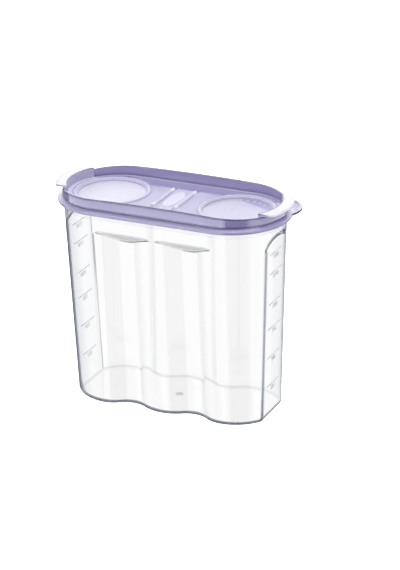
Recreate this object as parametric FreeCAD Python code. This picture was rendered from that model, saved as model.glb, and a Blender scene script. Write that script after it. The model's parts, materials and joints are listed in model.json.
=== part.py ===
import FreeCAD, Part
import math
import os

# Dry food container: a clear, lobed body under a tinted lid with two flaps that flip up.
# Millimetres. X runs along the length, -Y is the front, +Z is up.
# The origin is the centre of the base, on the surface that it stands on.

# Overall size, with the lid on
total_height = 175.0
lid_rise = 11.2

# Clear body: length and width near the top, and the draft down to the base
top_half_length = 85.9
top_half_width = 40.1
top_drop = 13.8
end_draft = 5.8
side_draft = 5.2
panel_bite = 4.8
body_wall = 1.8
floor_thickness = 2.4
foot_radius = 3.0
foot_inner_radius = 1.6

# Flutes down the long sides, and the shoulder that ends them
valley_place_share = 0.524
valley_round_share = 0.447
valley_depth = 7.5
band_height = 16.8
shoulder_margin = 0.7
shoulder_drop = 6.8

# Flat end panels with an arched top
arch_drop = 21.2
arch_rise = 7.4
arch_margin = 0.6
arch_flare = 8.0

# Lip round the mouth
lip_reach = 2.2
lip_height = 1.8

# Tinted lid frame
deck_thickness = 1.8
skirt_step = 4.8
skirt_wall = 1.6
skirt_depth = 1.2
flange_rise = 0.9
flange_fall = 1.6
flange_edge_drop = 0.7
flange_edge_inset = 0.6
flange_width = 3.7
collar_draft = 0.4
collar_wall = 2.0
rim_bow = 2.6
plug_wall = 1.4
plug_depth = 6.8
plug_gap = 0.35

# Pull tab on the flange, towards the back right corner
tab_angle = 42.0
tab_radius = 20.6
tab_inset = 11.5
tab_thickness = 1.7
tab_drop = 1.0
tab_edge = 2.3
tab_dish = 0.6

# Pour openings in the deck
ring_end_gap = 5.0
neck_length = 12.0
stopper_gap = 0.4

# Hinges between the centre plate and the flaps
hinge_place = 9.35
knuckle_radius = 1.6
knuckle_gap = 0.25
hinge_pin_radius = 0.8
hinge_pin_clearance = 0.05
barrel_half_length = 13.8
barrel_gap = 0.2
knuckle_margin = 3.4
pin_inset = 0.5

# Centre plate
plate_half_width = 22.3
plate_gap = 0.1
emboss_half_length = 16.0
emboss_half_width = 5.6
emboss_height = 0.35
peg_radius = 1.9
peg_place = 15.0
peg_clearance = 0.05
peg_depth = 0.6

# Flaps
flap_lift = 0.15
flap_thickness = 1.4
ring_margin = 7.9
ring_width = 2.9
ring_rise = 0.45
dish_margin = 1.6
dish_depth = 1.75
dish_floor = 1.4
stopper_wall = 1.4
stopper_depth = 3.6
tongue_half_width = 22.0
tongue_gap = 0.5
tongue_wall = 1.5
ledge_overhang = 5.4
ledge_thickness = 1.9
ledge_corner = 2.6

# Row of small bumps in the right dish
bump_count = 5
bump_first_angle = 52.0
bump_step_angle = 14.0
bump_inset = 3.5
bump_sphere_radius = 1.5
bump_height = 0.5

# One overrun serves all cuts
overrun = 4.0

# Heights that follow
rim_height = total_height - lid_rise
draft_height = rim_height - top_drop
shoulder_height = rim_height - band_height
arch_spring = rim_height - arch_drop
deck_under = rim_height
deck_top = rim_height + deck_thickness
collar_foot_height = deck_top + flange_rise
flange_top_height = collar_foot_height - flange_fall
flange_edge_height = flange_top_height - flange_edge_drop
hinge_height = deck_top + knuckle_gap + knuckle_radius
flap_under = deck_top + flap_lift
flap_top = flap_under + flap_thickness

# Places and radii that follow
base_half_length = top_half_length - end_draft
base_half_width = top_half_width - side_draft
end_centre = top_half_length + panel_bite - top_half_width
arch_round = base_half_width + side_draft * arch_spring / draft_height
arch_reach = base_half_length + end_draft * arch_spring / draft_height - end_centre
arch_half_width = math.sqrt(arch_round ** 2 - arch_reach ** 2) + arch_margin
valley_place = end_centre * valley_place_share
shoulder_depth = valley_depth + shoulder_margin
skirt_reach = top_half_width + skirt_step
flange_top_reach = skirt_reach - flange_edge_inset
collar_foot_reach = skirt_reach - flange_width
collar_rim_reach = collar_foot_reach - collar_draft
collar_inner = collar_foot_reach - collar_wall
tab_centre_reach = skirt_reach - tab_inset
ledge_reach = collar_foot_reach + ledge_overhang
room_across = collar_inner - ring_margin
room_along = (end_centre + collar_inner - ring_end_gap - hinge_place - neck_length) / 2
ring_radius = min(room_across, room_along)
ring_inner_radius = ring_radius - ring_width
dish_radius = ring_inner_radius - dish_margin
stopper_radius = dish_radius + stopper_wall
pour_radius = stopper_radius + stopper_gap
pour_place = end_centre + collar_inner - ring_end_gap - ring_radius
bump_place_radius = dish_radius - bump_inset
knuckle_inner = barrel_half_length + barrel_gap
knuckle_outer = plate_half_width - knuckle_margin
pin_end = knuckle_outer - pin_inset


def vec(x, y, z):
    return FreeCAD.Vector(x, y, z)


def half_width(z):
    """Half the width of the body at a height, with its draft."""
    return base_half_width + side_draft * z / draft_height


def corner_shift(inset, slope):
    """How far the corner between a wall and a sloping ledge climbs when both are inset."""
    return inset * math.tan(math.pi / 4 - slope / 2)


def arc(centre, radius, first, last, z):
    """Arc in a level plane, from one angle to another."""
    def at(angle):
        return vec(centre[0] + radius * math.cos(angle), centre[1] + radius * math.sin(angle), z)
    return Part.Arc(at(first), at((first + last) / 2), at(last)).toShape()


def stadium(reach, z):
    """Level stadium outline: two half circles about the end centres, joined by straight sides."""
    right = arc((end_centre, 0), reach, -math.pi / 2, math.pi / 2, z)
    left = arc((-end_centre, 0), reach, math.pi / 2, 3 * math.pi / 2, z)
    back = Part.makeLine(vec(end_centre, reach, z), vec(-end_centre, reach, z))
    front = Part.makeLine(vec(-end_centre, -reach, z), vec(end_centre, -reach, z))
    return Part.Wire([right, back, left, front])


def stadium_solid(low_reach, low, high_reach, high):
    """Upright stadium solid, straight or tapered."""
    if low_reach == high_reach:
        return Part.Face(stadium(low_reach, low)).extrude(vec(0, 0, high - low))
    return Part.makeLoft([stadium(low_reach, low), stadium(high_reach, high)], True, True)


def stadium_ring(outer, inner, low, high):
    """Upright wall with a stadium plan."""
    cut = stadium_solid(inner, low - overrun, inner, high + overrun)
    return stadium_solid(outer, low, outer, high).cut(cut)


def lobe_radii():
    """Radii of the middle lobe, a valley and an outer lobe, all tangent to each other."""
    outer_pitch = end_centre - valley_place
    middle_sum = (valley_place ** 2 + valley_depth ** 2) / (2 * valley_depth)
    outer_sum = (outer_pitch ** 2 + valley_depth ** 2) / (2 * valley_depth)
    valley = outer_sum * valley_round_share
    return middle_sum - valley, valley, outer_sum - valley


def side_edges(z, inset):
    """One quarter of the lobed outline, from the middle of the back to the outer lobe's top."""
    middle, valley, outer = lobe_radii()
    width = half_width(z)
    middle_centre = (0, width - middle)
    valley_centre = (valley_place, width - valley_depth + valley)
    outer_centre = (end_centre, width - outer)
    turn_in = math.atan2(valley_centre[1] - middle_centre[1], valley_place)
    turn_out = math.atan2(valley_centre[1] - outer_centre[1], valley_place - end_centre)
    return [
        arc(middle_centre, middle - inset, math.pi / 2, turn_in, z),
        arc(valley_centre, valley + inset, turn_in - math.pi, turn_out - math.pi, z),
        arc(outer_centre, outer - inset, turn_out, math.pi / 2, z),
    ]


def lobed_outline(z, inset):
    """Closed outline with three lobes on each long side and round ends."""
    quarter = side_edges(z, inset)
    back = quarter + [edge.mirror(vec(0, 0, 0), vec(1, 0, 0)) for edge in quarter]
    front = [edge.mirror(vec(0, 0, 0), vec(0, 1, 0)) for edge in back]
    reach = half_width(z) - inset
    right = arc((end_centre, 0), reach, -math.pi / 2, math.pi / 2, z)
    left = arc((-end_centre, 0), reach, math.pi / 2, 3 * math.pi / 2, z)
    return Part.Wire(Part.__sortEdges__(back + front + [right, left]))


def arch_outline(x, grow):
    """Upright outline of an end panel: straight sides under a half ellipse."""
    spread = arch_half_width + grow
    rise = arch_rise + grow
    centre = vec(x, 0, arch_spring)
    top = Part.Ellipse(vec(x, spread, arch_spring), vec(x, 0, arch_spring + rise), centre)
    curve = top.toShape(0, math.pi)
    left_foot = vec(x, -spread, -overrun)
    right_foot = vec(x, spread, -overrun)
    return Part.Wire([
        curve,
        Part.makeLine(vec(x, -spread, arch_spring), left_foot),
        Part.makeLine(left_foot, right_foot),
        Part.makeLine(right_foot, vec(x, spread, arch_spring)),
    ])


def panel_cutter(inset):
    """What an end panel takes off the right end, leaning with the draft."""
    grow = corner_shift(inset, math.pi / 4)
    outlines = [arch_outline(0, grow), arch_outline(arch_flare, grow + arch_flare)]
    cutter = Part.makeLoft(outlines, True, True)
    lean = math.degrees(math.atan2(end_draft, draft_height))
    cutter.rotate(vec(0, 0, 0), vec(0, 1, 0), lean)
    cutter.translate(vec(base_half_length - inset, 0, 0))
    return cutter


def body_envelope(inset, low, high):
    """The body's outer shape, or with an inset the shape of its inside."""
    slope = math.atan2(shoulder_drop, shoulder_depth)
    shoulder = shoulder_height + corner_shift(inset, slope)
    reach = half_width(shoulder) - inset
    lobes = Part.makeLoft([lobed_outline(low, inset), lobed_outline(shoulder, inset)], True, True)
    taper = stadium_solid(reach - shoulder_depth, shoulder - shoulder_drop, reach, shoulder)
    band = stadium_solid(reach, shoulder, half_width(high) - inset, high)
    shape = lobes.fuse([taper, band]).removeSplitter()
    right = panel_cutter(inset)
    left = right.mirror(vec(0, 0, 0), vec(1, 0, 0))
    return shape.cut([right, left])


def round_foot(shape, z, radius):
    """Round the edges that lie on one level."""
    edges = [e for e in shape.Edges if all(abs(v.Z - z) < radius / 100 for v in e.Vertexes)]
    return shape.makeFillet(radius, edges)


def container_body():
    """Clear body: lobed envelope with a lip round its mouth, hollowed to its wall."""
    outer = round_foot(body_envelope(0, 0, rim_height), 0, foot_radius)
    inside = body_envelope(body_wall, floor_thickness, rim_height + overrun)
    inside = round_foot(inside, floor_thickness, foot_inner_radius)
    reach = half_width(rim_height) + lip_reach
    lip = stadium_solid(reach, rim_height - lip_height, reach, rim_height)
    return outer.fuse(lip).cut(inside).removeSplitter()


def rim_bow_solid():
    """Everything under the lid's rim, which is highest at its middle and falls to both ends."""
    span = end_centre + collar_foot_reach
    radius = (span ** 2 + rim_bow ** 2) / (2 * rim_bow)
    depth = skirt_reach + overrun
    return Part.makeCylinder(radius, 2 * depth, vec(0, -depth, total_height - radius), vec(0, 1, 0))


def pull_tab():
    """Rounded ear with a shallow dish on top, for lifting the lid off."""
    angle = math.radians(tab_angle)
    x = end_centre + tab_centre_reach * math.cos(angle)
    y = tab_centre_reach * math.sin(angle)
    top = deck_top - tab_drop
    low = top - tab_thickness
    inside = skirt_reach - skirt_wall
    ear = Part.makeCylinder(tab_radius, tab_thickness, vec(x, y, low))
    ear = ear.cut(stadium_solid(inside, low - overrun, inside, top + overrun))
    dish = Part.makeCylinder(tab_radius - tab_edge, tab_dish + overrun, vec(x, y, top - tab_dish))
    keep = skirt_reach + tab_edge / 2
    return ear.cut(dish.cut(stadium_solid(keep, low, keep, top + 2 * overrun)))


def lid_frame():
    """Tinted frame: skirt, sloping flange, collar, deck with two openings, and plug wall."""
    low = deck_under - skirt_depth
    skirt = stadium_solid(skirt_reach, low, skirt_reach, flange_edge_height)
    edge = stadium_solid(skirt_reach, flange_edge_height, flange_top_reach, flange_top_height)
    flange = stadium_solid(flange_top_reach, flange_top_height, collar_foot_reach, collar_foot_height)
    collar = stadium_solid(collar_foot_reach, deck_under, collar_rim_reach, total_height + overrun)
    collar = collar.common(rim_bow_solid())
    frame = skirt.fuse([edge, flange, collar, pull_tab()])
    inside_skirt = skirt_reach - skirt_wall
    under = stadium_solid(inside_skirt, low - overrun, inside_skirt, deck_under)
    tray = stadium_solid(collar_inner, deck_top, collar_inner, total_height + 2 * overrun)
    frame = frame.cut([under, tray])
    plug_reach = half_width(deck_under - plug_depth) - body_wall - plug_gap
    frame = frame.fuse(stadium_ring(plug_reach, plug_reach - plug_wall, deck_under - plug_depth, deck_under))
    for side in (-1, 1):
        start = vec(side * pour_place, 0, deck_under - overrun)
        frame = frame.cut(Part.makeCylinder(pour_radius, deck_thickness + 2 * overrun, start))
        hole = vec(0, side * peg_place, deck_under - overrun)
        frame = frame.cut(Part.makeCylinder(peg_radius + peg_clearance, deck_thickness + 2 * overrun, hole))
    return frame.removeSplitter()


def centred_box(x_low, x_high, half_y, z_low, z_high):
    return Part.makeBox(x_high - x_low, 2 * half_y, z_high - z_low, vec(x_low, -half_y, z_low))


def rod_y(x, z, radius, y_low, y_high):
    return Part.makeCylinder(radius, y_high - y_low, vec(x, y_low, z), vec(0, 1, 0))


def hinge_bridge():
    """Centre plate on the deck, with a barrel and two pin ends along each side."""
    edge = hinge_place - knuckle_radius - plate_gap
    plate = centred_box(-edge, edge, plate_half_width, deck_top, flap_top)
    far, near = vec(0, emboss_half_length, flap_top), vec(emboss_half_width, 0, flap_top)
    oval = Part.Ellipse(far, near, vec(0, 0, flap_top))
    bridge = plate.fuse(Part.Face(Part.Wire(oval.toShape())).extrude(vec(0, 0, emboss_height)))
    for side in (-1, 1):
        x = side * hinge_place
        web = centred_box(min(x, 0), max(x, 0), barrel_half_length, deck_top, flap_top)
        barrel = rod_y(x, hinge_height, knuckle_radius, -barrel_half_length, barrel_half_length)
        pin = rod_y(x, hinge_height, hinge_pin_radius, -pin_end, pin_end)
        peg_length = deck_thickness + peg_depth
        peg = Part.makeCylinder(peg_radius, peg_length, vec(0, side * peg_place, deck_under - peg_depth))
        bridge = bridge.fuse([web, barrel, pin, peg])
    return bridge.removeSplitter()


def round_block(radius, low, high):
    """Upright cylinder about the right pour opening."""
    return Part.makeCylinder(radius, high - low, vec(pour_place, 0, low))


def flap_plate():
    """Flat part of the right flap: neck, round and tongue in one level plate."""
    neck_start = hinge_place + knuckle_radius + plate_gap
    neck = centred_box(neck_start, pour_place, plate_half_width, flap_under, flap_top)
    disc = round_block(ring_radius, flap_under, flap_top)
    reach = collar_inner - tongue_gap
    tongue = centred_box(pour_place, end_centre + ledge_reach, tongue_half_width, flap_under, flap_top)
    tongue = tongue.common(stadium_solid(reach, flap_under, reach, flap_top))
    return neck.fuse([disc, tongue])


def flap_ledge():
    """Upright end wall inside the collar and the thumb ledge that reaches over the rim."""
    reach = collar_inner - tongue_gap
    inner = reach - tongue_wall
    far = end_centre + ledge_reach + overrun
    window = centred_box(pour_place, far, tongue_half_width, flap_under, total_height)
    wall = stadium_ring(reach, inner, flap_under, total_height).common(window)
    ledge = stadium_ring(ledge_reach, inner, total_height - ledge_thickness, total_height).common(window)
    corners = [edge for edge in ledge.Edges if is_outer_corner(edge)]
    return wall.fuse(ledge.makeFillet(ledge_corner, corners))


def is_outer_corner(edge):
    """Whether an edge of the ledge stands upright at its outer rim."""
    first, last = edge.Vertexes[0].Point, edge.Vertexes[-1].Point
    upright = math.hypot(last.x - first.x, last.y - first.y) < ledge_corner / 10
    return upright and math.hypot(first.x - end_centre, first.y) > ledge_reach - ledge_corner


def flap_knuckles():
    """Two bored knuckles at the ends of the hinge line, each on its own web."""
    solids = []
    web_length = knuckle_radius + plate_gap + overrun
    web_low = hinge_height - knuckle_radius
    for side in (-1, 1):
        low, high = sorted((side * knuckle_inner, side * knuckle_outer))
        corner = vec(hinge_place, low, web_low)
        solids.append(rod_y(hinge_place, hinge_height, knuckle_radius, low, high))
        solids.append(Part.makeBox(web_length, high - low, flap_top - web_low, corner))
    return solids


def right_flap():
    """Flap over the right opening: a plate with a raised ring, a dished stopper and a ledge."""
    stopper_low = deck_top - stopper_depth
    floor_top = flap_top - dish_depth
    floor_low = floor_top - dish_floor
    ring = round_block(ring_radius, flap_under, flap_top + ring_rise)
    ring = ring.cut(round_block(ring_inner_radius, flap_top, flap_top + ring_rise + overrun))
    stopper = round_block(stopper_radius, stopper_low, flap_top)
    flap = flap_plate().fuse([ring, stopper, flap_ledge()] + flap_knuckles())
    dish = round_block(dish_radius, floor_top, flap_top + overrun)
    under = round_block(dish_radius, stopper_low - overrun, floor_low)
    bore_radius = hinge_pin_radius + hinge_pin_clearance
    bore = rod_y(hinge_place, hinge_height, bore_radius, -plate_half_width, plate_half_width)
    return flap.cut([dish, under, bore]).removeSplitter()


def dish_bumps():
    """Row of low domes near the back edge of the right dish."""
    floor_top = flap_top - dish_depth
    domes = []
    for step in range(bump_count):
        angle = math.radians(bump_first_angle + step * bump_step_angle)
        x = pour_place + bump_place_radius * math.cos(angle)
        y = bump_place_radius * math.sin(angle)
        centre = vec(x, y, floor_top + bump_height - bump_sphere_radius)
        domes.append(Part.makeSphere(bump_sphere_radius, centre))
    keep = round_block(dish_radius, floor_top - dish_floor / 2, floor_top + dish_floor)
    return [dome.common(keep) for dome in domes]


def save(name, shape):
    print(name, "solids", len(shape.Solids), "valid", shape.isValid(), "volume", round(shape.Volume, 1))
    shape.Solids[0].exportStep("parts/" + name + ".step")


os.makedirs("parts", exist_ok=True)
flap = right_flap()
save("container_body", container_body())
save("lid_frame", lid_frame())
save("hinge_bridge", hinge_bridge())
save("left_flap", flap.mirror(vec(0, 0, 0), vec(1, 0, 0)))
save("right_flap", flap.fuse(dish_bumps()).removeSplitter())
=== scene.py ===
import bpy
import bmesh
import json
from math import acos, asin, atan, atan2, ceil, cos, degrees, dist, hypot, pi, radians, sin, sqrt, tan
from mathutils import Matrix, Vector
from mathutils.geometry import tessellate_polygon


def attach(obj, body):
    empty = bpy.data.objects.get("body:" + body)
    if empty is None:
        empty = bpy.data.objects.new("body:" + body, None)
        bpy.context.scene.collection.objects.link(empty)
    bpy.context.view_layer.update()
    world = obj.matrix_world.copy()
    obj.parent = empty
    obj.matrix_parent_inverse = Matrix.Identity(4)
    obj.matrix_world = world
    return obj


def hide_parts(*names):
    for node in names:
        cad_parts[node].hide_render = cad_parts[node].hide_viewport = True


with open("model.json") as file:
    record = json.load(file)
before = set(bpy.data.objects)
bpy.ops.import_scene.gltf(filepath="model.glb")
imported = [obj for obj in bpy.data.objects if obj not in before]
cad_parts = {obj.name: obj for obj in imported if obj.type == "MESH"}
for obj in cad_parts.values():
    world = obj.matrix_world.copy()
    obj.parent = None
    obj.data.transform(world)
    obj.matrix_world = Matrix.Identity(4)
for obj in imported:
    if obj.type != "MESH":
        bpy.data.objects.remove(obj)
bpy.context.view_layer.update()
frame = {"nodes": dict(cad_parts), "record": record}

MM = 0.001
SAME_PLACE = 1e-7
SLAB_BORDER = 0.8

# Clear body, in millimetres
BODY_FOOT_WIDTH = 34.9
BODY_SIDE_DRAFT = 5.2
BODY_FOOT_END = 80.1
BODY_END_DRAFT = 5.8
DRAFT_HEIGHT = 150.0
RIM_HEIGHT = 163.8
WALL = 1.8
FLOOR = 2.4
FOOT_RADIUS = 3.0
FOOT_INNER_RADIUS = 1.6
END_CENTRE = 50.6
VALLEY_PLACE = 26.51
VALLEY_DEPTH = 7.5
MIDDLE_RADIUS = 31.66
VALLEY_RADIUS = 18.96
OUTER_RADIUS = 23.46
SHOULDER_HEIGHT = 147.0
SHOULDER_SLOPE = 8.2 / 6.8
ARCH_SPRING = 142.6
ARCH_RISE = 7.4
ARCH_HALF = 19.6
LIP_REACH = 2.2
LIP_HEIGHT = 1.8
CREASE = 1.1
PANEL_CREASE = 0.2
CLOSE_ROWS_FROM = 138.0
CLOSE_ROW_STEP = 0.55

# Lid frame, in millimetres
LID_TOP = 175.0
DECK_TOP = 165.6
DECK_UNDER = 163.8
SKIRT_REACH = 44.9
SKIRT_INNER = 43.3
SKIRT_LOW = 162.6
FLANGE_EDGE = 164.2
FLANGE_TOP = 164.9
FLANGE_TOP_REACH = 44.3
COLLAR_FOOT_REACH = 41.2
COLLAR_FOOT = 166.5
COLLAR_RIM_REACH = 40.8
COLLAR_INNER = 39.2
RIM_BOW = 2.6
PLUG_OUTER = 38.2
PLUG_INNER = 36.8
PLUG_LOW = 157.0
POUR_PLACE = 53.5
POUR_RADIUS = 28.6
TAB_X = 75.42
TAB_Y = 22.35
TAB_RADIUS = 20.6
TAB_TOP = 164.6
TAB_THICK = 1.7
TAB_EDGE = 2.3
TAB_DISH = 0.6
TAB_ANGLE_FROM = -75.0
TAB_ANGLE_TO = 160.0

# Flaps and centre plate, in millimetres
HINGE_PLACE = 9.35
HINGE_HEIGHT = 167.45
KNUCKLE_RADIUS = 1.6
PIN_RADIUS = 0.8
BORE_RADIUS = 0.85
BARREL_HALF = 13.8
KNUCKLE_INNER = 14.0
KNUCKLE_OUTER = 18.9
PIN_END = 18.4
PLATE_HALF = 22.3
PLATE_EDGE = 7.65
NECK_START = 11.05
FLAP_UNDER = 165.75
FLAP_TOP = 167.15
RING_RADIUS = 31.3
RING_INNER = 28.4
RING_TOP = 167.6
DISH_RADIUS = 26.8
DISH_FLOOR = 165.4
STOPPER_FLOOR = 164.0
STOPPER_RADIUS = 28.2
STOPPER_LOW = 162.0
TONGUE_HALF = 22.0
TONGUE_REACH = 38.7
TONGUE_WALL = 1.5
LEDGE_REACH = 46.6
LEDGE_UNDER = 173.1
LEDGE_CORNER = 2.6
PLATE_HIDDEN = RING_RADIUS - 1.3
EMBOSS_LONG = 16.0
EMBOSS_WIDE = 5.6
EMBOSS_RISE = 0.35
PEG_RADIUS = 1.9
PEG_PLACE = 15.0
PEG_LOW = 163.2

# Raised details, in millimetres
BUMP_COUNT = 5
BUMP_FIRST = 52.0
BUMP_STEP = 14.0
BUMP_PLACE = 23.3
BUMP_RADIUS = 1.5
BUMP_RISE = 0.5
GATE_RISE = 0.6
SCALE_HEIGHTS = (27.0, 51.5, 75.8, 96.5, 121.9, 137.8)
SCALE_STEP = 250
SCALE_LINE = 22.0
SCALE_THICK = 0.6
SCALE_PROUD = 0.18
FIGURE_SIZE = 5.0

# Places of the painted shades on the mouldings, and of the see-through on the clear walls, in millimetres
SHADE_EDGE = 16.5
SLOPE_PROBE = 1.5
SLOPE_STEP = 0.15
EDGE_REACH = 2.2
FOOT_LINE_TOP = 14.0
FOOT_LINE_LOW = 8.0

# Plastics; the brim's tone paints a highlight, and a tone above it makes the lid's plastic clear
SAN_IOR = 1.57
PP_IOR = 1.49
BRIM_TONE = 0.9
PLUG_TONE = 0.95

# Studio: bearings are shares of a full turn, and levels the upward part of a direction
GAP_START = 0.521
GAP_END = 0.645
GAP_LEVEL = (-0.35, -0.375)
LOW_LEVEL = (-0.39, -0.36)
LID_LEVEL = (-0.345, -0.31)
HORIZON = (-0.1, 0.1)
BACKDROP_LEVEL = 1.04
FLOOR_HALF = 6.0
WALLS_CROSSED = 24


def smooth_min(a, b, blend):
    """The lower of two values, with the corner between them rounded over."""
    if blend <= 0:
        return min(a, b)
    near = max(blend - abs(a - b), 0) / blend
    return min(a, b) - near * near * blend / 4


def smooth_max(a, b, blend):
    return -smooth_min(-a, -b, blend)


def arc_points(x, y, radius, first, last, steps):
    """Points on an arc, angles in degrees, both ends included."""
    points = []
    for k in range(steps + 1):
        angle = radians(first + (last - first) * k / steps)
        points.append((x + radius * cos(angle), y + radius * sin(angle)))
    return points


def circle(x, y, radius, steps):
    return arc_points(x, y, radius, 0, 360, steps)[:-1]


def drawn_in(outline, distance):
    """A closed outline moved inwards, each point along the middle of its corner."""
    count = len(outline)
    area = sum(outline[k - 1][0] * outline[k][1] - outline[k][0] * outline[k - 1][1] for k in range(count))
    side = 1 if area > 0 else -1
    moved = []
    for k in range(count):
        here = Vector(outline[k])
        before = (here - Vector(outline[k - 1])).normalized()
        after = (Vector(outline[(k + 1) % count]) - here).normalized()
        first, second = Vector((-before.y, before.x)), Vector((-after.y, after.x))
        middle = (first + second).normalized()
        reach = distance / max(middle.dot(first), 0.4)
        moved.append(tuple(here + middle * side * reach))
    return moved


class Shell:
    """Points and faces of one closed moulding while it is being made."""

    def __init__(self):
        self.points = []
        self.faces = []
        self.tones = []

    def loop(self, points, tone=0.0):
        """Adds points; their tone, one for all or a list, makes the plastic paler above nought and
        deeper below it, and mostly paints highlights and shade."""
        start = len(self.points)
        self.points.extend(points)
        self.tones.extend(tone if isinstance(tone, list) else [tone] * len(points))
        return list(range(start, len(self.points)))

    def level(self, outline, height, tone=0.0):
        """Adds an outline at one height."""
        return self.loop([(x, y, height) for x, y in outline], tone)

    def join(self, *loops):
        """Bands of faces between loops that have the same number of points; a loop that is one point
        over and over closes its band."""
        for low, high in zip(loops, loops[1:]):
            for k, after in enumerate([*range(1, len(low)), 0]):
                self.faces.append(tuple(dict.fromkeys((low[k], low[after], high[after], high[k]))))

    def fill(self, *loops):
        """A level face inside the first loop, with the other loops as openings."""
        rings = [[Vector(self.points[k]).to_3d() for k in loop] for loop in loops]
        flat = [k for loop in loops for k in loop]
        for triangle in tessellate_polygon(rings):
            self.faces.append(tuple(flat[k] for k in triangle))

    def slab(self, outline, low, high, tone=0.0):
        """A level plate between two heights, with a narrow border round its faces."""
        inner = drawn_in(outline, SLAB_BORDER)
        loops = []
        for line, height in ((inner, low), (outline, low), (outline, high), (inner, high)):
            loops.append(self.level(line, height, tone))
        self.join(*loops)
        self.fill(loops[0])
        self.fill(loops[-1])

    def turned(self, profile, centre, steps, tone_at):
        """A profile of radius and height turned about an upright axis; ends on the axis are closed."""
        loops = []
        for radius, height in profile:
            tone = tone_at(radius, height)
            if radius == 0:
                loops.append(self.loop([(centre, 0, height)], tone) * steps)
            else:
                loops.append(self.level(circle(centre, 0, radius, steps), height, tone))
        self.join(*loops)

    def barrel(self, x, z, outer, inner, low, high, steps=28, tone=0.0):
        """A round bar along Y, or a tube where it has an inner radius."""
        rings = []
        for radius, y in ((outer, low), (outer, high), (inner, high), (inner, low)):
            if radius > 0:
                rings.append(self.loop([(px, y, pz) for px, pz in circle(x, z, radius, steps)], tone))
        if inner > 0:
            self.join(*rings, rings[0])
        else:
            self.join(*rings)
            self.faces += [tuple(rings[0]), tuple(rings[1])]


def mark_bends(work):
    """Writes on each point how tightly the surface bends there, as one over its radius in mm:
    ridge where it bends outwards and groove where it bends inwards."""
    ridge = work.verts.layers.float.new("ridge")
    groove = work.verts.layers.float.new("groove")
    for edge in work.edges:
        if len(edge.link_faces) == 2:
            first, second = edge.link_faces
            apart = (first.calc_center_median() - second.calc_center_median()).length / MM
            turn = edge.calc_face_angle_signed(0)
            layer = ridge if turn > 0 else groove
            bend = min(abs(turn) / max(apart, 0.2), 4.0)
            for point in edge.verts:
                point[layer] = max(point[layer], bend)


def placed(name, data):
    """A new object in the scene, at the origin."""
    piece = bpy.data.objects.new(name, data)
    bpy.context.collection.objects.link(piece)
    return piece


def given_over(piece, material, body):
    """Gives a piece its finish, the body that it moves with and its place among the finishes."""
    piece.data.materials.append(material)
    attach(piece, body)


def finished(name, shell, material, body, nodes=(), crease=34, bevel=0.0, mirrored=False):
    """The moulding as an object in the frame, with its finish, its body and the nodes it stands for."""
    side = -1 if mirrored else 1
    mesh = bpy.data.meshes.new(name)
    points = [(side * x * MM, y * MM, z * MM) for x, y, z in shell.points]
    mesh.from_pydata(points, [], shell.faces)
    work = bmesh.new()
    work.from_mesh(mesh)
    tone = work.verts.layers.float.new("tone")
    for point, value in zip(work.verts, shell.tones):
        point[tone] = value
    bmesh.ops.remove_doubles(work, verts=work.verts, dist=SAME_PLACE)
    bmesh.ops.recalc_face_normals(work, faces=work.faces)
    mark_bends(work)
    work.to_mesh(mesh)
    work.free()
    mesh.shade_smooth()
    mesh.set_sharp_from_angle(angle=radians(crease))
    piece = placed(name, mesh)
    if bevel:
        rounding = piece.modifiers.new("edge_rounding", "BEVEL")
        rounding.width = bevel * MM
        rounding.segments = 3
        rounding.limit_method = "ANGLE"
        rounding.angle_limit = radians(crease + 6)
        rounding.harden_normals = True
    given_over(piece, material, body)
    if nodes:
        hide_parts(*nodes)


# Body

def half_width(z):
    return BODY_FOOT_WIDTH + BODY_SIDE_DRAFT * z / DRAFT_HEIGHT


def end_plane(z):
    return BODY_FOOT_END + BODY_END_DRAFT * z / DRAFT_HEIGHT


def lobe_turns():
    """Angles at which the middle lobe meets the valley and the valley meets the outer lobe."""
    rise = VALLEY_RADIUS - VALLEY_DEPTH
    first = degrees(atan2(rise + MIDDLE_RADIUS, VALLEY_PLACE))
    second = degrees(atan2(rise + OUTER_RADIUS, VALLEY_PLACE - END_CENTRE))
    return first, second


def quarter_places():
    """Places along a quarter of the outline, from the middle of the side to the middle of the end."""
    stretches = {
        "middle": [k / 12 for k in range(12)],
        "valley": [k / 20 for k in range(20)],
        "outer": [k / 12 for k in range(12)],
        "end": (0, 0.1, 0.2, 0.3, 0.4, 0.5, 0.6, 0.7, 0.78, 0.85, 0.9, 0.935, 0.955, 0.97, 0.982, 0.991),
        "panel": (1, 0.99, 0.98, 0.965, 0.945, 0.92, 0.88, 0.83, 0.77,
                  0.7, 0.62, 0.53, 0.44, 0.35, 0.26, 0.17, 0.08, 0)}
    return [(kind, share) for kind, shares in stretches.items() for share in shares]


def side_point(kind, share, z, inset):
    """Point on a lobed long side, where the valleys end in a slope under the plain band."""
    first, second = lobe_turns()
    width = half_width(z)
    start, sweep, x, y, radius = {
        "middle": (90, first - 90, 0, width - MIDDLE_RADIUS, MIDDLE_RADIUS - inset),
        "valley": (180 + first, second - first, VALLEY_PLACE, width - VALLEY_DEPTH + VALLEY_RADIUS,
                   VALLEY_RADIUS + inset),
        "outer": (second, 90 - second, END_CENTRE, width - OUTER_RADIUS, OUTER_RADIUS - inset)}[kind]
    angle = radians(start + sweep * share)
    x += radius * cos(angle)
    y += radius * sin(angle)
    dent = max(width - inset - y, 0)
    blend = min(CREASE, dent * 0.6)
    stretch = hypot(1, SHOULDER_SLOPE) - 1
    slope = (SHOULDER_HEIGHT - z) * SHOULDER_SLOPE + inset * stretch
    depth = smooth_min(dent, smooth_max(slope, 0, blend), blend)
    return x, width - inset - depth


def arch_distance(y, z):
    """How far a point on the end plane lies outside the arched panel."""
    rise = z - ARCH_SPRING
    if rise <= 0:
        return abs(y) - ARCH_HALF
    low, high = -ARCH_RISE, 30.0
    for step in range(24):
        guess = (low + high) / 2
        spread, top = ARCH_HALF + guess, max(ARCH_RISE + guess, 1e-6)
        if (y / spread) ** 2 + (rise / top) ** 2 > 1:
            low = guess
        else:
            high = guess
    return (low + high) / 2


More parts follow.
